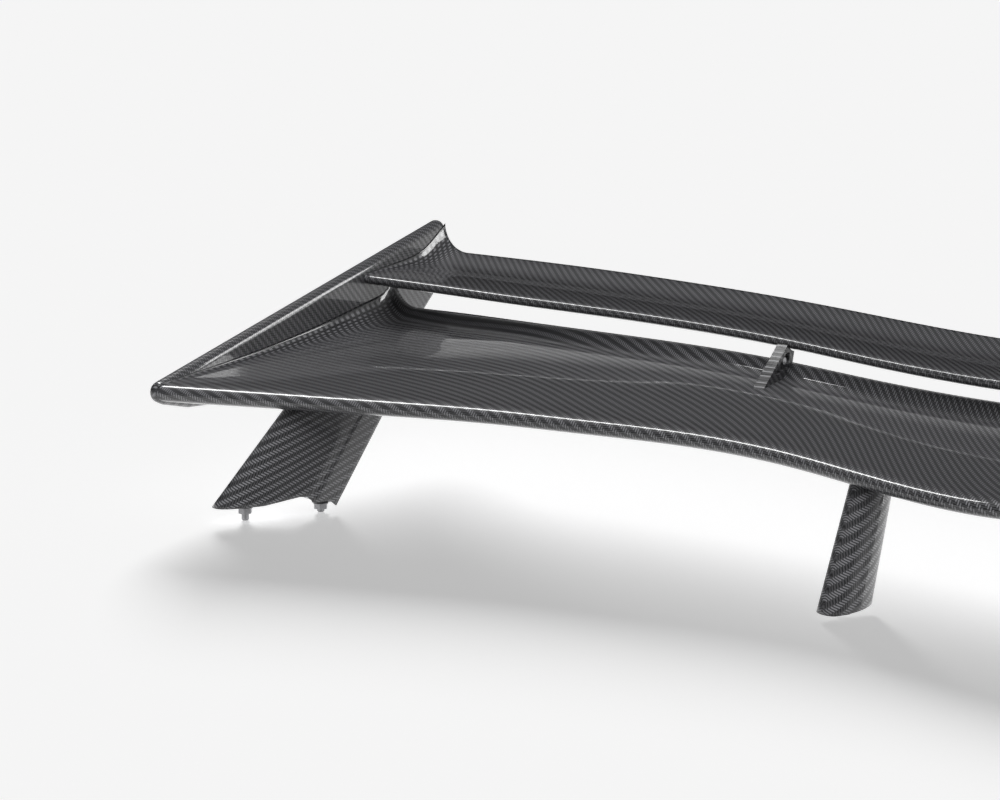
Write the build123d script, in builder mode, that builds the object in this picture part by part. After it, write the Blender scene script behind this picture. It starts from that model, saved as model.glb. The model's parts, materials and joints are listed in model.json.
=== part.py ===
from build123d import *
import math
import os

# A two-element carbon rear wing: a hollow main plane, a flap above its trailing edge, two end
# plates and four hollow legs that stand on studs. Millimetres.
# Row frame: +Z up, -Y towards the front of the car, +X towards its left side. The origin is on
# the centre plane, at the height of the lowest stud tips, midway between front and rear.

# ---- driving dimensions -----------------------------------------------------------------------
HALF_SPAN = 720.0          # centre plane to the outside of an end plate
PLATE_THICK = 14.0         # end plate
FRONT_TO_ORIGIN = 206.6    # outer front stud to the origin, along Y
SKIN = 1.8                 # carbon skin
LEG_WALL = 2.0             # carbon wall of a leg
TAIL_SHARE = 0.6           # of that thickness, at the thin trailing edges
BOND = 0.9                 # glue line between a skin and what is bonded inside it
TIP_X = HALF_SPAN - PLATE_THICK

# The four lines that shape the two blades, each as (distance behind the outer front stud,
# height) at even steps from the centre plane to the inner face of an end plate.
MAIN_NOSE = [               # foremost line of the main plane
    (32, 84.5), (50, 86), (78, 89), (90, 90.5), (84, 91), (73, 91.5), (52, 91.5), (28, 91.5), (4, 91.5),
]
MAIN_TAIL = [               # upper corner of its trailing edge
    (222, 118), (226, 119), (240, 121.5), (262, 124.3), (277, 126), (289, 126), (304, 124.8),
    (325, 122.3), (342, 119.5),
]
FLAP_NOSE = [               # foremost line of the flap
    (200, 135), (206, 136), (226, 138), (251, 140.8), (266, 143.5), (272, 146), (276, 147.7),
    (284, 149), (292, 150),
]
FLAP_TAIL = [               # upper corner of its trailing edge
    (326, 145), (331, 146), (347, 148.5), (368, 152), (387, 155), (401, 157.3), (412, 159.2),
    (419, 160.5), (424, 161.4),
]
STEPS = len(MAIN_NOSE) - 1

LIP_RUN = 24.0             # length of the turned-up lip on the main plane's tail
LIP_RISE = 11.0            # and its height
MAIN_TAIL_THICK = 5.0
FLAP_THICK = 9.0
FLAP_TAIL_THICK = 4.0

SPAR_FRONT = 104.0         # foam spar, behind the outer front stud
SPAR_REAR = 134.0
RIB = 10.0                 # thickness of a foam rib
STAY_X = 262.0             # flap stay, from the centre plane
STAY_THICK = 9.0

STUD_R = 3.0               # M6, over the thread
PITCH_R = 2.675            # M6 at the pitch diameter, where a nut or a tapped block grips it
WASHER_BORE_R = 3.2
NUT_AF = 10.0              # across flats of an M6 nut
NUT_H = 4.0
WASHER_R = 6.0
WASHER_H = 1.0
GASKET_R = 6.5
GASKET_H = 2.0


def row_point(line, step):
    """Y and Z of one of the four lines at a step from the centre plane, in the row frame."""
    y, z = line[step]
    return y - FRONT_TO_ORIGIN, z


def straight(first, last, parts):
    """Points along a straight line, both ends included."""
    (ya, za), (yb, zb) = first, last
    return [(ya + (yb - ya) * k / parts, za + (zb - za) * k / parts) for k in range(parts + 1)]


def main_section(step):
    """Upper and lower lines of the main plane's section, from nose to tail, as (y, z)."""
    y0, z0 = row_point(MAIN_NOSE, step)
    y1, z1 = row_point(MAIN_TAIL, step)
    run = y1 - y0
    deck = straight((y0 + 18, z0 + 7.6), (y1 - LIP_RUN - 6, z1 - LIP_RISE - 0.5), 3)
    lip = [(y1 - 18, z1 - 10.3), (y1 - 11, z1 - 6.5), (y1 - 6, z1 - 1.3), (y1, z1)]
    upper = [(y0, z0), (y0 + 7.5, z0 + 6.4), *deck, *lip]
    lower = [
        (y0, z0), (y0 + 6.5, z0 - 5.8), (y0 + 0.22 * run, z0 - 7.8), (y0 + 0.55 * run, z0 - 3.2),
        (y1 - LIP_RUN, z1 - LIP_RISE - 10), (y1 - 11, z1 - 14.5), (y1, z1 - MAIN_TAIL_THICK),
    ]
    return upper, lower


def flap_section(step):
    """Upper and lower lines of the flap's section, from nose to tail, as (y, z)."""
    y0, z0 = row_point(FLAP_NOSE, step)
    y1, z1 = row_point(FLAP_TAIL, step)
    run = y1 - y0
    deck = straight((y0 + 9, z0 + 4.2), (y1 - 30, z1 - 7.5), 2)
    upper = [(y0, z0), (y0 + 4, z0 + 3.6), *deck, (y1 - 8, z1 - 1.6), (y1, z1)]
    middle = 0.55 * (z0 - FLAP_THICK / 2) + 0.45 * (z1 - 20.5)
    lower = [
        (y0, z0), (y0 + 4, z0 - 3.8), (y0 + 0.35 * run, middle), (y1 - 32, z1 - 17),
        (y1 - 10, z1 - 9.5), (y1, z1 - FLAP_TAIL_THICK),
    ]
    return upper, lower


def inset(line, dz):
    """The line moved into the section: back from the nose, and by dz in height, less at the tail."""
    moved = [(line[0][0] + abs(dz), line[0][1])]
    moved += [(y + 0.3 * abs(dz), z + dz) for y, z in line[1:-1]]
    return moved + [(line[-1][0], line[-1][1] + TAIL_SHARE * dz)]


def stations():
    """(x, step from the centre plane) of every section, from the right tip to the left tip."""
    return [(TIP_X * k / STEPS, abs(k)) for k in range(-STEPS, STEPS + 1)]


def blade_skin(section_lines, upper):
    """One skin of a blade, lofted from tip to tip."""
    with BuildPart() as skin:
        for x, step in stations():
            line = section_lines(step)[0 if upper else 1]
            with BuildSketch(Plane.YZ.offset(x)):
                with BuildLine():
                    inner = inset(line, -SKIN if upper else SKIN)
                    Spline(line)
                    Spline(inner)
                    Line(line[0], inner[0])
                    Line(line[-1], inner[-1])
                make_face()
        loft()
    return skin.part


def blade_solid(section_lines, depth):
    """The whole blade as one solid, depth inside its outer surface."""
    with BuildPart() as solid:
        for x, step in stations():
            upper, lower = section_lines(step)
            if depth:
                upper, lower = inset(upper, -depth), inset(lower, depth)
            with BuildSketch(Plane.YZ.offset(x)):
                with BuildLine():
                    Spline(upper)
                    Spline(lower)
                    Line(upper[-1], lower[-1])
                make_face()
        loft()
    return solid.part


def keep(name, part):
    """Label a finished piece and write its STEP file."""
    part.label = name
    export_step(part, f"parts/{name}.step")
    box = part.bounding_box()
    print(name, len(part.solids()), "solids,", round(part.volume), "mm3,", box.min, box.max)


os.makedirs("parts", exist_ok=True)

# ---- main plane and flap ----------------------------------------------------------------------
main_outer = blade_solid(main_section, 0)
main_hollow = blade_solid(main_section, SKIN + BOND)
flap_outer = blade_solid(flap_section, 0)
flap_hollow = blade_solid(flap_section, SKIN + BOND)
main_bottom = blade_skin(main_section, False)
keep("main_upper_skin", blade_skin(main_section, True))
keep("flap_upper_skin", blade_skin(flap_section, True))
keep("flap_lower_skin", blade_skin(flap_section, False))

SLAB = 400.0               # long enough to reach through either blade

with BuildPart() as main_spar:
    add(main_hollow)
    with Locations((0, (SPAR_FRONT + SPAR_REAR) / 2 - FRONT_TO_ORIGIN, 100)):
        Box(2 * TIP_X, SPAR_REAR - SPAR_FRONT, SLAB, mode=Mode.INTERSECT)
keep("main_spar", main_spar.part)


def ribs(hollow, positions, cut_spar):
    """Foam ribs across a hollow blade, one on each side at every position."""
    with BuildPart() as group:
        for x in positions:
            for side in (-1, 1):
                with Locations((side * x, 0, 100)):
                    Box(RIB, 3 * SLAB, SLAB)
        add(hollow, mode=Mode.INTERSECT)
        if cut_spar:
            with Locations((0, (SPAR_FRONT + SPAR_REAR) / 2 - FRONT_TO_ORIGIN, 100)):
                Box(2 * HALF_SPAN, SPAR_REAR - SPAR_FRONT, SLAB, mode=Mode.SUBTRACT)
    return group.part


RIB_SPOTS = (STAY_X, 470, TIP_X - RIB / 2)
keep("main_ribs", ribs(main_hollow, RIB_SPOTS, True))
keep("flap_ribs", ribs(flap_hollow, RIB_SPOTS, False))

# ---- end plates -------------------------------------------------------------------------------
# Outline seen from the side, as (distance behind the outer front stud, height).
PLATE_CORNERS = [
    (-9, 94), (423, 192), (436, 158), (412, 124), (388, 105), (112, 67), (50, 72.5), (20, 80),
]
PLATE_CORNER_R = 9.0
PLATE_EDGE_R = 6.0

for side, name in ((1, "left"), (-1, "right")):
    inner_x = TIP_X if side > 0 else -HALF_SPAN
    with BuildPart() as end_plate:
        with BuildSketch(Plane.YZ.offset(inner_x)):
            with BuildLine():
                corners = [(y - FRONT_TO_ORIGIN, z) for y, z in PLATE_CORNERS]
                FilletPolyline(*corners, radius=PLATE_CORNER_R, close=True)
            make_face()
        extrude(amount=PLATE_THICK)
        rims = end_plate.faces().filter_by(Axis.X)
        fillet(rims.edges(), PLATE_EDGE_R)
    keep(f"end_plate_{name}", end_plate.part)

# ---- legs -------------------------------------------------------------------------------------
LEG_TOP = 112.0            # above the underside of the main plane, where the legs are trimmed
FOOT_FLOOR = 2.5           # below every foot, where its outline starts

# For each kind of leg, on the right side: the nose of its foot and of its top as (x, y from
# the outer front stud, z), the chords there, the turn of the chord and the greatest thickness.
# The cap block in its top lies between two heights, and the pad above it in the main plane
# ends at pad_top. The sole is (share of the chord, height). Each stud is (distance behind the
# nose, height of the face it stands out of, height of its tip).
LEGS = {
    "outer": {
        "foot": (-628.0, -21.0, 12.8), "top": (-609.5, 50.0, 82.0), "chords": (110.0, 92.0),
        "turn": 32.0, "thick": 25.0, "insert_low": 0.0, "cap": (56.0, 78.0), "pad_top": 91.0,
        "sole": [(0, 12.8), (0.36, 12.8), (0.6, 16.5), (0.7, 15.5), (0.765, 9.8), (0.91, 9.8),
                 (1, 4.5)],
        "studs": [(27.5, 12.8, 0.0), (92.0, 9.8, 0.0)],
    },
    "inner": {
        "foot": (-105.7, 0.5, 4.0), "top": (-112.4, 63.7, 79.0), "chords": (46.0, 37.0),
        "turn": 22.0, "thick": 21.0, "insert_low": 8.5, "cap": (52.0, 74.0), "pad_top": 84.0,
        "sole": [(0, 4), (1, 4)],
        "studs": [(20.0, 8.5, 0.6)],
    },
}
INSERT_H = 9.0             # aluminium block bonded in the foot, which holds the studs
SCREW_BITE = 14.0          # how far the screw from the main plane goes into the cap block
SCREW_SHARE = 0.35         # where that screw stands, as a share of the leg's chord
SCREW_HEAD_R = 5.0
SCREW_HEAD_H = 3.0
HARD_POINT = 24.0          # square aluminium pad inside the main plane, above each leg
STUD_BITE = 8.0            # how far a stud goes up into the foot
STUD_CHAMFER = 0.6


def leg_at(leg, z):
    """Nose position and chord of a leg at height z."""
    (x0, y0, z0), (x1, y1, z1) = leg["foot"], leg["top"]
    t = (z - z0) / (z1 - z0)
    chord = leg["chords"][0] + t * (leg["chords"][1] - leg["chords"][0])
    return x0 + t * (x1 - x0), y0 + t * (y1 - y0) - FRONT_TO_ORIGIN, chord


def along_leg(leg, z, distance, side):
    """The point on the leg's centre line at a distance behind its nose, at height z."""
    x, y, _ = leg_at(leg, z)
    turn = math.radians(leg["turn"])
    return -side * (x + distance * math.sin(turn)), y + distance * math.cos(turn)


def leg_solid(leg, side, wall, low, high):
    """The streamlined column of a leg between two heights, wall inside its outer surface."""
    with BuildPart() as column:
        for z in (low, high):
            x, y, chord = leg_at(leg, z)
            half = leg["thick"] / 2 - wall
            tail = max(1.6 - 0.5 * wall, 0.5)
            turn = leg["turn"] if side < 0 else -leg["turn"]
            base = Plane(origin=(-side * x, y, z), z_dir=(0, 0, 1)).rotated((0, 0, -turn))
            length = chord - wall
            with BuildSketch(base):
                with BuildLine():
                    for hand in (-1, 1):
                        Spline([
                            (0, wall), (0.62 * hand * half, 0.055 * chord + wall),
                            (hand * half, 0.24 * chord), (0.97 * hand * half, 0.5 * chord),
                            (0.62 * hand * half, 0.8 * chord), (hand * tail, length - wall),
                        ])
                    Line((-tail, length - wall), (tail, length - wall))
                make_face()
        loft()
    return column.part


def sole_cutter(leg, side):
    """The space under a leg's foot, whose edge follows the curve of the boot lid."""
    turn = math.radians(leg["turn"])
    x, y, chord = leg_at(leg, leg["foot"][2])
    back = (-side * math.sin(turn), math.cos(turn), 0)
    across = (math.cos(turn), side * math.sin(turn), 0)
    line = [(s * chord, z) for s, z in leg["sole"]]
    with BuildPart() as cutter:
        with BuildSketch(Plane(origin=(-side * x, y, 0), x_dir=back, z_dir=across)):
            with BuildLine():
                first, last = (-30, line[0][1]), (chord + 30, line[-1][1] - 1)
                Polyline((last[0], -20), (first[0], -20), first, *line, last, close=True)
            make_face()
        extrude(amount=40, both=True)
    return cutter.part


screw_spots = []           # where a screw goes down from the main plane into each leg
stud_spots = []            # (x, y, height of the sole, height of the stud's tip)
for kind, leg in LEGS.items():
    for side, name in ((1, "left"), (-1, "right")):
        with BuildPart() as shell:
            add(leg_solid(leg, side, 0, FOOT_FLOOR, LEG_TOP))
            add(main_outer, mode=Mode.SUBTRACT)
            add(sole_cutter(leg, side), mode=Mode.SUBTRACT)
        trimmed = shell.part.solids().sort_by(Axis.Z)[0]
        hollow = leg_solid(leg, side, LEG_WALL, FOOT_FLOOR - 1, LEG_TOP + 1)
        with BuildPart() as leg_shell:
            add(trimmed)
            add(hollow, mode=Mode.SUBTRACT)
        keep(f"leg_{kind}_{name}", leg_shell.part)

        # Aluminium block inside the foot, flush with the sole, tapped for the studs.
        with BuildPart() as insert:
            add(trimmed)
            add(hollow, mode=Mode.INTERSECT)
            x, y, _ = leg_at(leg, leg["foot"][2])
            low = leg["insert_low"]
            top = max([z for _, z in leg["sole"]] + [low]) + INSERT_H
            with Locations((-side * x, y, (low + top) / 2)):
                Box(SLAB, SLAB, top - low, mode=Mode.INTERSECT)
            for distance, _, _ in leg["studs"]:
                sx, sy = along_leg(leg, leg["foot"][2], distance, side)
                with Locations((sx, sy, top / 2)):
                    Cylinder(PITCH_R, top + 2, mode=Mode.SUBTRACT)
        keep(f"foot_insert_{kind}_{name}", insert.part)

        # Aluminium block inside the top of the leg, tapped for the screw from the main plane.
        cap_low, cap_high = leg["cap"]
        with BuildPart() as cap:
            add(hollow)
            with Locations((-side * x, y, (cap_low + cap_high) / 2)):
                Box(SLAB, SLAB, cap_high - cap_low, mode=Mode.INTERSECT)
            add(main_outer, mode=Mode.SUBTRACT)
            sx, sy = along_leg(leg, cap_high, SCREW_SHARE * leg["chords"][1], side)
            with Locations((sx, sy, cap_high)):
                Cylinder(STUD_R, 2 * SCREW_BITE, mode=Mode.SUBTRACT)
        keep(f"leg_cap_{kind}_{name}", cap.part)
        screw_spots.append((sx, sy, cap_high - SCREW_BITE, leg["pad_top"]))
        for distance, sole_z, tip_z in leg["studs"]:
            stud_spots.append((*along_leg(leg, leg["foot"][2], distance, side), sole_z, tip_z))


def screw_holes():
    """The shafts of the screws between the main plane and the legs, to be cut away."""
    with BuildPart(mode=Mode.PRIVATE) as holes:
        for x, y, low, high in screw_spots:
            with BuildSketch(Plane.XY.offset(low)):
                with Locations((x, y)):
                    Circle(STUD_R)
            extrude(amount=high - low)
    return holes.part


with BuildPart() as main_lower_skin:
    add(main_bottom)
    add(screw_holes(), mode=Mode.SUBTRACT)
keep("main_lower_skin", main_lower_skin.part)

# Square aluminium pads on the inside of the lower skin, above the legs.
with BuildPart() as leg_hard_points:
    for x, y, low, high in screw_spots:
        with BuildSketch(Plane.XY.offset(low)):
            with Locations((x, y)):
                Rectangle(HARD_POINT, HARD_POINT)
        extrude(amount=high - low)
    add(main_hollow, mode=Mode.INTERSECT)
    add(screw_holes(), mode=Mode.SUBTRACT)
keep("leg_hard_points", leg_hard_points.part)

with BuildPart() as leg_screws:
    add(screw_holes())
    for x, y, _, high in screw_spots:
        with BuildSketch(Plane.XY.offset(high)):
            with Locations((x, y)):
                Circle(SCREW_HEAD_R)
        extrude(amount=SCREW_HEAD_H)
keep("leg_screws", leg_screws.part)

# ---- studs, gaskets, washers and nuts under the feet ------------------------------------------
# Below its nut a stud has its full thread; above, it is drawn at the pitch diameter.
with BuildPart() as mounting_studs:
    for x, y, sole_z, tip_z in stud_spots:
        nut_low = sole_z - GASKET_H - WASHER_H - NUT_H
        for low, high, radius in ((tip_z, nut_low, STUD_R), (nut_low, sole_z + STUD_BITE, PITCH_R)):
            with BuildSketch(Plane.XY.offset(low)):
                with Locations((x, y)):
                    Circle(radius)
            extrude(amount=high - low)
    faces_down = mounting_studs.faces().filter_by(Axis.Z).filter_by(lambda f: f.normal_at().Z < 0)
    chamfer(faces_down.filter_by(lambda f: f.center().Z < 1).edges(), STUD_CHAMFER)
keep("mounting_studs", mounting_studs.part)


def rings(outer_r, bore_r, height, drop, hexagon=False):
    """A ring round every stud, its top at the given drop below the sole."""
    with BuildPart() as group:
        for x, y, sole_z, _ in stud_spots:
            with BuildSketch(Plane.XY.offset(sole_z - drop - height)):
                with Locations((x, y)):
                    if hexagon:
                        RegularPolygon(outer_r, 6)
                    else:
                        Circle(outer_r)
                    Circle(bore_r, mode=Mode.SUBTRACT)
            extrude(amount=height)
    return group.part


keep("foot_gaskets", rings(GASKET_R, STUD_R, GASKET_H, 0))
keep("stud_washers", rings(WASHER_R, WASHER_BORE_R, WASHER_H, GASKET_H))
keep("stud_nuts", rings(NUT_AF / math.sqrt(3), PITCH_R, NUT_H, GASKET_H + WASHER_H, hexagon=True))

# ---- stays between the main plane and the flap ------------------------------------------------
# Outline seen from the side, as (distance behind the outer front stud, height); the ends are
# trimmed by the skins they stand against.
STAY_OUTLINE = [(193, 100), (249, 140), (264, 142), (256, 116)]
STAY_RECESS = [(221, 115), (246, 133), (254, 134), (251, 123)]
RECESS_DEPTH = 2.5
STAY_SCREW_R = 2.0
STAY_HEAD_R = 3.2
STAY_HEAD_H = 1.6
STAY_SCREW = (246, 127)


def stay_points(outline):
    return [(y - FRONT_TO_ORIGIN, z) for y, z in outline]


for side, name in ((1, "left"), (-1, "right")):
    # The recess and its screw are on the side that faces the centre plane.
    open_face = side * (STAY_X - STAY_THICK / 2)
    with BuildPart() as stay:
        with BuildSketch(Plane.YZ.offset(side * STAY_X)):
            with BuildLine():
                Polyline(stay_points(STAY_OUTLINE), close=True)
            make_face()
        extrude(amount=STAY_THICK / 2, both=True)
        with BuildSketch(Plane.YZ.offset(open_face)):
            with BuildLine():
                FilletPolyline(*stay_points(STAY_RECESS), radius=2, close=True)
            make_face()
        extrude(amount=RECESS_DEPTH, both=True, mode=Mode.SUBTRACT)
        add(main_outer, mode=Mode.SUBTRACT)
        add(flap_outer, mode=Mode.SUBTRACT)
        with Locations((open_face + side * RECESS_DEPTH, STAY_SCREW[0] - FRONT_TO_ORIGIN, STAY_SCREW[1])):
            Cylinder(STAY_SCREW_R, 8, rotation=(0, 90, 0), mode=Mode.SUBTRACT)
    with BuildPart() as flap_stay:
        add(stay.part.solids().sort_by(SortBy.VOLUME)[-1])
    keep(f"flap_stay_{name}", flap_stay.part)

with BuildPart() as stay_screws:
    for side in (-1, 1):
        floor_x = side * (STAY_X - STAY_THICK / 2 + RECESS_DEPTH)
        with Locations((floor_x + side * 2, STAY_SCREW[0] - FRONT_TO_ORIGIN, STAY_SCREW[1])):
            Cylinder(STAY_SCREW_R, 4, rotation=(0, 90, 0))
        with Locations((floor_x - side * STAY_HEAD_H / 2, STAY_SCREW[0] - FRONT_TO_ORIGIN, STAY_SCREW[1])):
            Cylinder(STAY_HEAD_R, STAY_HEAD_H, rotation=(0, 90, 0))
keep("stay_screws", stay_screws.part)
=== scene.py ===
"""A two-element carbon rear wing on four legs, in a pale studio. Metres."""

import json
import math

import bpy
import numpy as np
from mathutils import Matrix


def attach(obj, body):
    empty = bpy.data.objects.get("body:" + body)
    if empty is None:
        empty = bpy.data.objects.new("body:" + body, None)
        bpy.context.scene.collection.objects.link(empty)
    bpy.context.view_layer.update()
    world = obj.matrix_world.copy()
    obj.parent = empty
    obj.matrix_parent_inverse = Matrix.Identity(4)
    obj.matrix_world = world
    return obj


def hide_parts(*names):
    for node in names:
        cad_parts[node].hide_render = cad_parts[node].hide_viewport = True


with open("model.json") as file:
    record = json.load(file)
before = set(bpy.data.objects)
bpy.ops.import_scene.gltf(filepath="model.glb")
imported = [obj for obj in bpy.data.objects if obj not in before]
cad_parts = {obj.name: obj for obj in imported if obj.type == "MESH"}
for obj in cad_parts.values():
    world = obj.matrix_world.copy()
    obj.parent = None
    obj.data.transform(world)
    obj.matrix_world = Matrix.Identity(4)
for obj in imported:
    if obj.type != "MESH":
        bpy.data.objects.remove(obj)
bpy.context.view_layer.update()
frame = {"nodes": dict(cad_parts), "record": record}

# ---- driving dimensions, in millimetres as on the drawing, turned to metres by to_row() ---------
MM = 0.001
HALF_SPAN = 720.0
PLATE_THICK = 14.0
TIP_X = HALF_SPAN - PLATE_THICK
FRONT_TO_ORIGIN = 206.6    # outer front stud to the origin, along Y

# (distance behind the outer front stud, height) at even steps from the centre plane to the tip
MAIN_NOSE = [
    (32, 84.5), (50, 86), (78, 89), (90, 90.5), (84, 91), (73, 91.5), (52, 91.5), (28, 91.5), (4, 91.5),
]
MAIN_TAIL = [
    (222, 118), (226, 119), (240, 121.5), (262, 124.3), (277, 126), (289, 126), (304, 124.8),
    (325, 122.3), (342, 119.5),
]
FLAP_NOSE = [
    (200, 135), (206, 136), (226, 138), (251, 140.8), (266, 143.5), (272, 146), (276, 147.7),
    (284, 149), (292, 150),
]
FLAP_TAIL = [
    (326, 145), (331, 146), (347, 148.5), (368, 152), (387, 155), (401, 157.3), (412, 159.2),
    (419, 160.5), (424, 161.4),
]
PLATE_CORNERS = [
    (-9, 94), (423, 192), (436, 158), (412, 124), (388, 105), (112, 67), (50, 72.5), (20, 80),
]
MAIN_FILLET = 28.0         # how far the main plane's top flares up into the end plates
FLAP_FILLET = 26.0
FILLET_AT_NOSE = 0.06      # size of the fillet at the nose, as a share of its size at the tail
TAIL_BULGE = 1.6           # roundness of the trailing edges
PLATE_RIM = 6.5            # radius of the end plates' rim
PLATE_TURN = 9.0           # radius of the end plates' corners

# The column of each leg leans from its foot to its top. Its sole is given as (share of the
# chord, height), and the chord is turned about the vertical, in degrees.
LEGS = {
    "outer": {
        "foot": (-628.0, -21.0, 12.8), "top": (-609.5, 50.0, 82.0), "chords": (110.0, 92.0),
        "turn": 32.0, "thick": 25.0, "high": 92.0,
        "sole": [(0, 12.8), (0.36, 12.8), (0.6, 16.5), (0.7, 15.5), (0.765, 9.8), (0.91, 9.8), (1, 4.5)],
    },
    "inner": {
        "foot": (-105.7, 0.5, 4.0), "top": (-112.4, 63.7, 79.0), "chords": (46.0, 37.0),
        "turn": 22.0, "thick": 21.0, "high": 86.0, "sole": [(0, 4), (1, 4)],
    },
}
LEG_TAIL_HALF = 1.6        # half the thickness of a leg's trailing edge

TOW = 2.0                  # width of one tow of the cloth
LEG_LEAN = 1.0             # how far the cloth on the legs shifts back for each unit of height
LAY_COS, LAY_SIN = math.cos(math.radians(65)), math.sin(math.radians(65))   # lay of their cloth
WEAVE_DEPTH = 0.25

# ---- fineness of the meshes --------------------------------------------------------------------
LINE_SAMPLES = 801         # along a blade's nose or tail line
HALF_STATIONS = 90         # from the centre plane to the fillet
FILLET_STEP = 6            # degrees of the fillet from one station to the next
MAIN_SAMPLES = 96          # round the main plane
FLAP_SAMPLES = 72
LEG_SAMPLES = 60
LEG_RINGS = 24

# ---- camera, in metres, millimetres of lens and degrees ------------------------------------------
CAMERA_PLACE = (0.574, -1.4515 - FRONT_TO_ORIGIN * MM, 0.4776)
CAMERA_LENS = 86.4
CAMERA_SENSOR = 36.0
CAMERA_ABOVE = 11.5
CAMERA_ROUND = 33.0

# ---- light levels -----------------------------------------------------------------------------
SKY = 0.9
KEY = 4.5
FILL = 4.2
NOSE_STRIP = 26.0
RIM_STRIP = 30.0
FLOOR_GLOW = 0.5
FLOOR_REACH = 60000.0      # half the side of the floor
FLOOR_HEIGHT = -0.4        # just below the studs' ends


# ---- curves -----------------------------------------------------------------------------------
def spline(points, count):
    """A natural cubic spline through the points, sampled at count places."""
    points = np.array(points, float)
    steps = np.linalg.norm(np.diff(points, axis=0), axis=1)
    knots = np.concatenate([[0], np.cumsum(steps)])
    size = len(points)
    system = np.eye(size)
    right = np.zeros_like(points)
    for i in range(1, size - 1):
        before, after = steps[i - 1], steps[i]
        system[i, i - 1:i + 2] = (before, 2 * (before + after), after)
        slope_after = (points[i + 1] - points[i]) / after
        right[i] = 6 * (slope_after - (points[i] - points[i - 1]) / before)
    bend = np.linalg.solve(system, right)
    places = np.linspace(0, knots[-1], count)
    index = np.clip(np.searchsorted(knots, places) - 1, 0, size - 2)
    gap = steps[index][:, None]
    low = (knots[index + 1] - places)[:, None]
    high = (places - knots[index])[:, None]
    curve = (bend[index] * low ** 3 + bend[index + 1] * high ** 3) / (6 * gap)
    curve += (points[index] / gap - bend[index] * gap / 6) * low
    return curve + (points[index + 1] / gap - bend[index + 1] * gap / 6) * high


def span_line(line):
    """One of the four lines as a smooth function of the distance from the centre plane."""
    mirrored = [(-k, *line[k]) for k in range(len(line) - 1, 0, -1)]
    both = mirrored + [(k, *row) for k, row in enumerate(line)]
    dense = spline([(TIP_X * k / (len(line) - 1), y, z) for k, y, z in both], LINE_SAMPLES)

    def at(x):
        return np.interp(x, dense[:, 0], dense[:, 1]), np.interp(x, dense[:, 0], dense[:, 2])

    return at


# ---- meshes -----------------------------------------------------------------------------------
def to_row(points):
    """Drawing points (x, y behind the outer front stud, z) in the row frame, in metres."""
    return [(x * MM, (y - FRONT_TO_ORIGIN) * MM, z * MM) for x, y, z in points]


def mesh_piece(name, points, faces, material, cloth=None, smooth=True):
    """An object from drawing points; cloth gives the weave's (u, v) of every point, in mm."""
    mesh = bpy.data.meshes.new(name)
    mesh.from_pydata(to_row(points), [], faces)
    if cloth is not None:
        layer = mesh.uv_layers.new(name="cloth")
        corners = np.array([cloth[loop.vertex_index] for loop in mesh.loops], float) * MM
        layer.data.foreach_set("uv", corners.ravel())
    mesh.polygons.foreach_set("use_smooth", [smooth] * len(mesh.polygons))
    mesh.materials.append(material)
    mesh.update()
    piece = bpy.data.objects.new(name, mesh)
    bpy.context.collection.objects.link(piece)
    return piece


def tube_faces(rings, around):
    """Quads between closed rings that each have the same number of points."""
    faces = []
    for i in range(rings - 1):
        for j in range(around):
            k = (j + 1) % around
            faces.append((i * around + j, i * around + k, (i + 1) * around + k, (i + 1) * around + j))
    return faces


def lofted(name, rings, material, cloth):
    """A closed solid through rings of points, with a cap on the first and the last."""
    around = len(rings[0])
    faces = tube_faces(len(rings), around)
    faces.append(tuple(range(around))[::-1])
    faces.append(tuple(range((len(rings) - 1) * around, len(rings) * around)))
    points = [point for ring in rings for point in ring]
    piece = mesh_piece(name, points, faces, material, cloth)
    for cap in piece.data.polygons[-2:]:
        cap.use_smooth = False
    return piece


def carbon_piece(name, rings, cloth, *nodes_replaced):
    """A lofted carbon piece on the only body, in the place of the CAD nodes."""
    piece = lofted(name, rings, twill, cloth)
    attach(piece, "root")
    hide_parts(*nodes_replaced)


# ---- materials --------------------------------------------------------------------------------
def new_material(name):
    """A material with its nodes, its links and its shader."""
    material = bpy.data.materials.new(name)
    material.use_nodes = True
    nodes, links = material.node_tree.nodes, material.node_tree.links
    return material, nodes, links, nodes["Principled BSDF"]


def math_node(nodes, links, operation, first, second=None):
    """A Math node fed by sockets or numbers, which returns its output."""
    node = nodes.new("ShaderNodeMath")
    node.operation = operation
    for socket, value in zip(node.inputs, (first, second)):
        if value is None:
            continue
        if isinstance(value, (int, float)):
            socket.default_value = value
        else:
            links.new(value, socket)
    return node.outputs[0]


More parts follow.
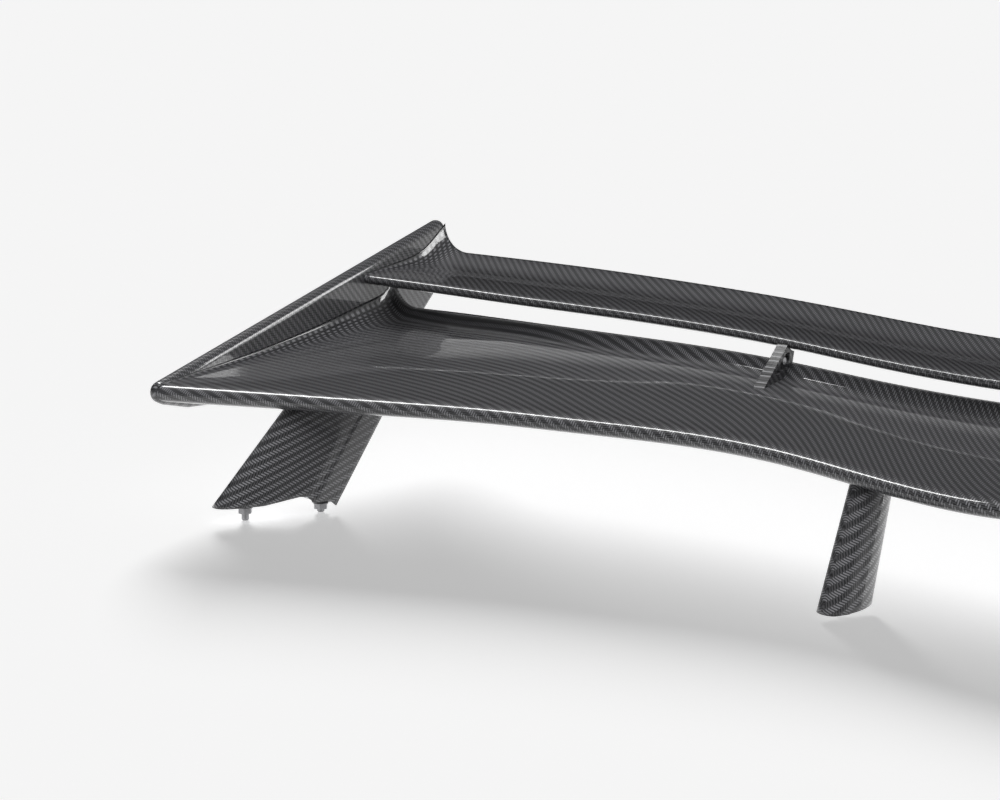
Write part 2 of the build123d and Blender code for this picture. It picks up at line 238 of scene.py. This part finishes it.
def carbon(name, flat_axes=None, dark=0.006, sheen_grey=0.18, coat=1.0):
    """2x2 twill under a clear coat, laid in the cloth map or, with flat_axes, in two row axes. The tows'
    crowns and warp floats are painted lighter, as painted sheen of the fibres.
    """
    material, nodes, links, shader = new_material(name)

    def calc(operation, first, second=None):
        return math_node(nodes, links, operation, first, second)

    split = nodes.new("ShaderNodeSeparateXYZ")
    if flat_axes:
        links.new(nodes.new("ShaderNodeTexCoord").outputs["Object"], split.inputs[0])
        along, across = (split.outputs[axis] for axis in flat_axes)
    else:
        cloth_map = nodes.new("ShaderNodeUVMap")
        cloth_map.uv_map = "cloth"
        links.new(cloth_map.outputs[0], split.inputs[0])
        along, across = split.outputs["X"], split.outputs["Y"]
    u = calc("DIVIDE", along, TOW * MM)
    v = calc("DIVIDE", across, TOW * MM)
    step = calc("ADD", calc("FLOOR", u), calc("FLOOR", v))
    warp = calc("LESS_THAN", calc("FLOORED_MODULO", step, 4.0), 1.5)

    # Each tow is rounded across its width and a little proud in the middle of its float.
    round_u = calc("SINE", calc("MULTIPLY", calc("FRACT", u), math.pi))
    round_v = calc("SINE", calc("MULTIPLY", calc("FRACT", v), math.pi))
    weave = nodes.new("ShaderNodeMix")
    links.new(warp, weave.inputs["Factor"])
    links.new(round_v, weave.inputs["A"])
    links.new(round_u, weave.inputs["B"])

    # Filaments run along each tow.
    streaks = nodes.new("ShaderNodeTexNoise")
    streaks.inputs["Scale"].default_value = 1.0
    streaks.inputs["Detail"].default_value = 2.0
    stretched = nodes.new("ShaderNodeCombineXYZ")
    long_way = nodes.new("ShaderNodeMix")
    links.new(warp, long_way.inputs["Factor"])
    links.new(v, long_way.inputs["A"])
    links.new(u, long_way.inputs["B"])
    links.new(calc("MULTIPLY", long_way.outputs["Result"], 9.0), stretched.inputs["X"])
    links.new(step, stretched.inputs["Y"])
    links.new(stretched.outputs[0], streaks.inputs["Vector"])

    # Colour: the crowns of the tows and the warp floats are painted lighter, a painted sheen of the
    # fibres, broken up by the filament streaks.
    crown_sheen = calc("POWER", weave.outputs["Result"], 2.0)
    sheen_with_grain = calc("MULTIPLY", crown_sheen, calc("ADD", calc("MULTIPLY", warp, 0.7), 0.3))
    sheen_with_grain = calc("MULTIPLY", sheen_with_grain, calc("ADD", calc("MULTIPLY", streaks.outputs["Fac"], 0.7), 0.65))
    colours = nodes.new("ShaderNodeMix")
    colours.data_type = "RGBA"
    colours.inputs["A"].default_value = (dark, dark, dark * 1.08, 1)
    colours.inputs["B"].default_value = (sheen_grey, sheen_grey, sheen_grey * 1.06, 1)
    links.new(sheen_with_grain, colours.inputs["Factor"])
    links.new(colours.outputs["Result"], shader.inputs["Base Color"])
    rough = calc("SUBTRACT", 0.52, calc("MULTIPLY", warp, 0.14))
    links.new(rough, shader.inputs["Roughness"])
    bump = nodes.new("ShaderNodeBump")
    bump.inputs["Strength"].default_value = 0.35
    bump.inputs["Distance"].default_value = WEAVE_DEPTH * MM
    links.new(weave.outputs["Result"], bump.inputs["Height"])
    links.new(bump.outputs[0], shader.inputs["Normal"])
    shader.inputs["Coat Weight"].default_value = coat
    shader.inputs["Coat Roughness"].default_value = 0.04
    shader.inputs["Coat IOR"].default_value = 1.5
    return material


def grained(name, colour, metallic, roughness, scale, spread, bump_size=0.00003):
    """A plain material whose tone, roughness and surface vary with a fine grain."""
    material, nodes, links, shader = new_material(name)
    place = nodes.new("ShaderNodeTexCoord")
    noise = nodes.new("ShaderNodeTexNoise")
    noise.inputs["Scale"].default_value = scale
    noise.inputs["Detail"].default_value = 4.0
    links.new(place.outputs["Object"], noise.inputs["Vector"])
    colours = nodes.new("ShaderNodeMix")
    colours.data_type = "RGBA"
    colours.inputs["A"].default_value = (*[c * (1 - spread) for c in colour], 1)
    colours.inputs["B"].default_value = (*[min(c * (1 + spread), 1) for c in colour], 1)
    links.new(noise.outputs["Fac"], colours.inputs["Factor"])
    links.new(colours.outputs["Result"], shader.inputs["Base Color"])
    shader.inputs["Metallic"].default_value = metallic
    rough = math_node(nodes, links, "MULTIPLY_ADD", noise.outputs["Fac"], 0.2)
    rough.node.inputs[2].default_value = roughness - 0.1
    links.new(rough, shader.inputs["Roughness"])
    bump = nodes.new("ShaderNodeBump")
    bump.inputs["Strength"].default_value = 0.4
    bump.inputs["Distance"].default_value = bump_size
    links.new(noise.outputs["Fac"], bump.inputs["Height"])
    links.new(bump.outputs[0], shader.inputs["Normal"])
    return material


# Both carbons carry painted sheen on their tows; the stay's is dimmer.
twill = carbon("carbon_twill")
twill_side = carbon("carbon_twill_stay", ("Y", "Z"), sheen_grey=0.12, coat=0.15)
steel = grained("zinc_steel", (0.3, 0.3, 0.31), 1.0, 0.3, 900, 0.15)
aluminium = grained("machined_aluminium", (0.75, 0.76, 0.78), 1.0, 0.4, 600, 0.1)
rubber = grained("gasket_rubber", (0.015, 0.015, 0.016), 0.0, 0.75, 1500, 0.3, 0.00006)
foam = grained("core_foam", (0.72, 0.64, 0.46), 0.0, 0.85, 1200, 0.2, 0.0002)
FINISHES = {
    "carbon_twill": twill_side, "steel": steel, "aluminium": aluminium, "rubber": rubber, "foam": foam,
}

for entry in frame["record"]["subparts"]:
    node = frame["nodes"][entry["node"]]
    for place in node.material_slots:
        place.material = FINISHES[entry["material_slot"]]


# ---- blades -----------------------------------------------------------------------------------
# Both outlines are control points measured in millimetres from the nose and from the tail.
def straight(front, rear, shares):
    """Points on the straight line from front to rear."""
    return [(front[0] + t * (rear[0] - front[0]), front[1] + t * (rear[1] - front[1])) for t in shares]


def main_outline(nose, tail):
    """Control points round the main plane's section, from the lower tail to the upper tail."""
    (y0, z0), (y1, z1) = nose, tail
    run = y1 - y0
    lower = [
        (y1, z1 - 5), (y1 - 11, z1 - 14.5), (y1 - 24, z1 - 21), (y0 + 0.55 * run, z0 - 3.2),
        (y0 + 0.22 * run, z0 - 7.8), (y0 + 6.5, z0 - 5.8), (y0 + 1.8, z0 - 3.2),
    ]
    front, rear = (y0 + 18, z0 + 7.6), (y1 - 30, z1 - 11.5)
    deck = straight(front, rear, (0, 0.33, 0.67, 1))
    upper = [(y0 + 1.8, z0 + 3.4), (y0 + 7.5, z0 + 6.4), *deck]
    upper += [(y1 - 18, z1 - 10.3), (y1 - 11, z1 - 6.5), (y1 - 6, z1 - 1.3), (y1, z1)]
    return lower + [(y0, z0)] + upper


def flap_outline(nose, tail):
    """Control points round the flap's section, from the lower tail to the upper tail."""
    (y0, z0), (y1, z1) = nose, tail
    run = y1 - y0
    low = 0.55 * (z0 - 4.5) + 0.45 * (z1 - 20.5)
    lower = [
        (y1, z1 - 4), (y1 - 10, z1 - 9.5), (y1 - 32, z1 - 17), (y0 + 0.35 * run, low),
        (y0 + 4, z0 - 3.8), (y0 + 1, z0 - 2),
    ]
    front, rear = (y0 + 9, z0 + 4.2), (y1 - 30, z1 - 7.5)
    deck = straight(front, rear, (0, 0.5, 1))
    upper = [(y0 + 1, z0 + 2), (y0 + 4, z0 + 3.6), *deck, (y1 - 8, z1 - 1.6), (y1, z1)]
    return lower + [(y0, z0)] + upper


def blade(name, outline, nose_line, tail_line, fillet, samples, nodes_replaced):
    """A blade from tip to tip whose top flares up into the end plates by a fillet.

    The outline is smoothed through its control points at samples places.
    """
    nose_at, tail_at = span_line(nose_line), span_line(tail_line)
    flat = TIP_X - fillet
    near_tip = [flat + fillet * math.sin(math.radians(a)) for a in range(FILLET_STEP, 91, FILLET_STEP)]
    half_span = list(np.linspace(0, flat, HALF_STATIONS)) + near_tip
    stations = [-x for x in half_span[:0:-1]] + half_span
    rings, cloth = [], []
    for x in stations:
        nose, tail = nose_at(x), tail_at(x)
        section = spline(outline(nose, tail), samples)
        half = (section[-1][1] - section[0][1]) / 2
        rounded = [(tail[0] + TAIL_BULGE * math.sin(a), section[-1][1] - half * (1 - math.cos(a)))
                   for a in (0.8, 1.57, 2.34)]
        ring = np.array(list(section) + rounded)
        over = abs(x) - flat
        if over > 0:
            # The fillet grows from a tight one at the nose to the full radius at the tail.
            nose_index = int(np.argmin(ring[:samples, 0]))
            for i in range(nose_index, samples):
                behind = (ring[i, 0] - nose[0]) / (tail[0] - nose[0])
                size = fillet * (FILLET_AT_NOSE + (1 - FILLET_AT_NOSE) * min(behind, 1.0) ** 2)
                inside = max(0.0, over - (fillet - size))
                ring[i, 1] += size - math.sqrt(max(size * size - inside * inside, 0))
        lengths = np.concatenate([[0], np.cumsum(np.linalg.norm(np.diff(ring, axis=0), axis=1))])
        rings.append([(x, y, z) for y, z in ring])
        cloth += [(x, s) for s in lengths]
    carbon_piece(name, rings, cloth, *nodes_replaced)


blade("main_plane", main_outline, MAIN_NOSE, MAIN_TAIL, MAIN_FILLET, MAIN_SAMPLES,
      ("main_upper_skin", "main_lower_skin"))
blade("flap", flap_outline, FLAP_NOSE, FLAP_TAIL, FLAP_FILLET, FLAP_SAMPLES,
      ("flap_upper_skin", "flap_lower_skin"))


# ---- end plates -------------------------------------------------------------------------------
def rounded_outline(corners, radius, steps=8):
    """The corners joined by straight sides, each turned by an arc of the radius."""
    outline = []
    corners = [np.array(c, float) for c in corners]
    for i, corner in enumerate(corners):
        to_last = corners[i - 1] - corner
        to_next = corners[(i + 1) % len(corners)] - corner
        to_last /= np.linalg.norm(to_last)
        to_next /= np.linalg.norm(to_next)
        half = math.acos(np.clip(to_last @ to_next, -1, 1)) / 2
        middle = (to_last + to_next) / np.linalg.norm(to_last + to_next)
        centre = corner + middle * radius / math.sin(half)
        start = corner + to_last * radius / math.tan(half) - centre
        finish = corner + to_next * radius / math.tan(half) - centre
        turn = math.atan2(start[0] * finish[1] - start[1] * finish[0], start @ finish)
        for k in range(steps + 1):
            a = turn * k / steps
            outline.append(centre + (start[0] * math.cos(a) - start[1] * math.sin(a),
                                     start[0] * math.sin(a) + start[1] * math.cos(a)))
    return np.array(outline)


def end_plate(name, side):
    """A plate with a full round rim, its inner face flush with the blades' tips."""
    outline = rounded_outline(PLATE_CORNERS, PLATE_TURN)
    ahead = np.roll(outline, -1, axis=0) - np.roll(outline, 1, axis=0)
    inward = np.stack([-ahead[:, 1], ahead[:, 0]], axis=1)
    inward /= np.linalg.norm(inward, axis=1)[:, None]
    if np.mean((outline.mean(axis=0) - outline) * inward) < 0:
        inward = -inward
    profile = []
    for centre_x, first in ((TIP_X + PLATE_RIM, 0), (HALF_SPAN - PLATE_RIM, 90)):
        for a in range(first, first + 91, 15):
            bend = math.radians(a)
            profile.append((centre_x - PLATE_RIM * math.cos(bend), PLATE_RIM * (1 - math.sin(bend))))
    rings = []
    for x, depth in profile:
        ring = outline + inward * depth
        rings.append([(side * x, y, z) for y, z in ring])
    cloth = [(y, z + abs(x)) for ring in rings for x, y, z in ring]
    carbon_piece(name, rings, cloth, f"end_{name}")


end_plate("plate_left", 1)
end_plate("plate_right", -1)


# ---- legs -------------------------------------------------------------------------------------
def leg_ring(leg, side, share):
    """A ring of the leg's column; share 0 is the sole and 1 is inside the main plane."""
    (x0, y0, z0), (x1, y1, z1) = leg["foot"], leg["top"]
    half = leg["thick"] / 2
    shape = [(LEG_TAIL_HALF, 1), (0.6 * half, 0.8), (0.95 * half, 0.5), (half, 0.24), (0.86 * half, 0.09),
             (0.5 * half, 0.02), (0, 0)]
    mirrored = [(-w, s) for w, s in shape[-2::-1]]
    chord_scale = leg["chords"][0]
    curve = spline([(w, s * chord_scale) for w, s in shape + mirrored], LEG_SAMPLES)
    sole_s, sole_z = zip(*leg["sole"])
    turn = math.radians(leg["turn"])
    ring = []
    for across, behind in curve:
        s = behind / chord_scale
        sole = np.interp(s, sole_s, sole_z)
        z = sole + share * (leg["high"] - sole)
        t = (z - z0) / (z1 - z0)
        chord = leg["chords"][0] + t * (leg["chords"][1] - leg["chords"][0])
        along = s * chord
        x = x0 + t * (x1 - x0) + along * math.sin(turn) - across * math.cos(turn)
        y = y0 + t * (y1 - y0) + along * math.cos(turn) + across * math.sin(turn)
        ring.append((-side * x, y, z))
    return ring


for kind, leg in LEGS.items():
    for side, hand in ((1, "left"), (-1, "right")):
        rings = [leg_ring(leg, side, share) for share in np.linspace(0, 1, LEG_RINGS)]
        cloth = []
        for ring in np.array(rings):
            steps = np.linalg.norm(np.diff(ring, axis=0), axis=1)
            lengths = np.concatenate([[0], np.cumsum(steps)])
            behind = abs(lengths - lengths[-1] / 2) + LEG_LEAN * ring[:, 2]
            cloth += [(b * LAY_COS + z * LAY_SIN, z * LAY_COS - b * LAY_SIN)
                      for b, z in zip(behind, ring[:, 2])]
        carbon_piece(f"strut_{kind}_{hand}", rings, cloth, f"leg_{kind}_{hand}")


# ---- studio -----------------------------------------------------------------------------------
def studio():
    """A pale floor that glows, a key light on it alone, a fill on the wing alone and two strips."""
    floor_material, nodes, links, shader = new_material("studio_floor")
    noise = nodes.new("ShaderNodeTexNoise")
    noise.inputs["Scale"].default_value = 3.0
    tint = nodes.new("ShaderNodeMix")
    tint.data_type = "RGBA"
    tint.inputs["A"].default_value = (0.895, 0.895, 0.895, 1)
    tint.inputs["B"].default_value = (0.905, 0.905, 0.905, 1)
    links.new(noise.outputs["Fac"], tint.inputs["Factor"])
    links.new(tint.outputs["Result"], shader.inputs["Base Color"])
    shader.inputs["Roughness"].default_value = 0.9
    shader.inputs["Specular IOR Level"].default_value = 0.0
    shader.inputs["Emission Color"].default_value = (1, 1, 1, 1)
    shader.inputs["Emission Strength"].default_value = FLOOR_GLOW
    far = FLOOR_REACH
    corners = [(x, y, FLOOR_HEIGHT) for x, y in ((-far, -far), (far, -far), (far, far), (-far, far))]
    floor = mesh_piece("studio_floor", corners, [(0, 1, 2, 3)], floor_material, smooth=False)
    floor_only = bpy.data.collections.new("floor_only")
    floor_only.objects.link(floor)
    all_but_floor = bpy.data.collections.new("all_but_floor")
    all_but_floor.objects.link(floor)
    all_but_floor.collection_objects[0].light_linking.link_state = "EXCLUDE"

    sun("key", KEY, 14, (0.19, -0.225, -0.1), floor_only)
    sun("fill", FILL, 90, (-0.25, 0.3, -0.9), all_but_floor)
    softbox("nose_strip", (-1.75, 0.65, 2.45), 0.4, 1.5, NOSE_STRIP)
    softbox("rim_strip", (1.6, 2.2, 0.9), 0.6, 1.8, RIM_STRIP)

    world = bpy.data.worlds.new("studio")
    world.use_nodes = True
    back = world.node_tree.nodes["Background"]
    back.inputs["Color"].default_value = (0.985, 0.985, 1.0, 1)
    back.inputs["Strength"].default_value = SKY
    world.cycles_visibility.diffuse = False
    world.cycles_visibility.glossy = False
    bpy.context.scene.world = world
    bpy.context.scene.view_settings.view_transform = "Standard"


def sun(name, power, spread, direction, receivers):
    """A sun of the spread in degrees, not seen in reflections, that lights the receivers only."""
    data = bpy.data.lights.new(name, "SUN")
    data.energy, data.angle = power, math.radians(spread)
    source = lamp(data, (0, 0, 1), (direction[0], direction[1], 1 + direction[2]))
    source.visible_glossy = False
    source.light_linking.receiver_collection = receivers


def softbox(name, place, width, height, power):
    """A rectangular light that is seen only in reflections, aimed at the wing."""
    data = bpy.data.lights.new(name, "AREA")
    data.shape = "RECTANGLE"
    data.size, data.size_y, data.energy = width, height, power
    lamp(data, place, (0, 0, 0.1)).visible_diffuse = False


def lamp(data, place, target):
    """A lamp at a place, aimed at a target, in metres."""
    lamp_object = bpy.data.objects.new(data.name, data)
    lamp_object.location = place
    aim = np.array(target, float) - np.array(place, float)
    tilt = math.acos(-aim[2] / np.linalg.norm(aim))
    lamp_object.rotation_euler = (tilt, 0, math.atan2(aim[1], aim[0]) - math.pi / 2)
    bpy.context.collection.objects.link(lamp_object)
    return lamp_object


def camera():
    """The photograph's view: from the front left quarter, a little above."""
    data = bpy.data.cameras.new("camera")
    data.lens, data.sensor_width = CAMERA_LENS, CAMERA_SENSOR
    data.clip_end = 500.0
    view = bpy.data.objects.new("camera", data)
    view.location = CAMERA_PLACE
    view.rotation_euler = (math.radians(90 - CAMERA_ABOVE), 0, math.radians(CAMERA_ROUND))
    bpy.context.collection.objects.link(view)
    bpy.context.scene.camera = view


studio()
camera()
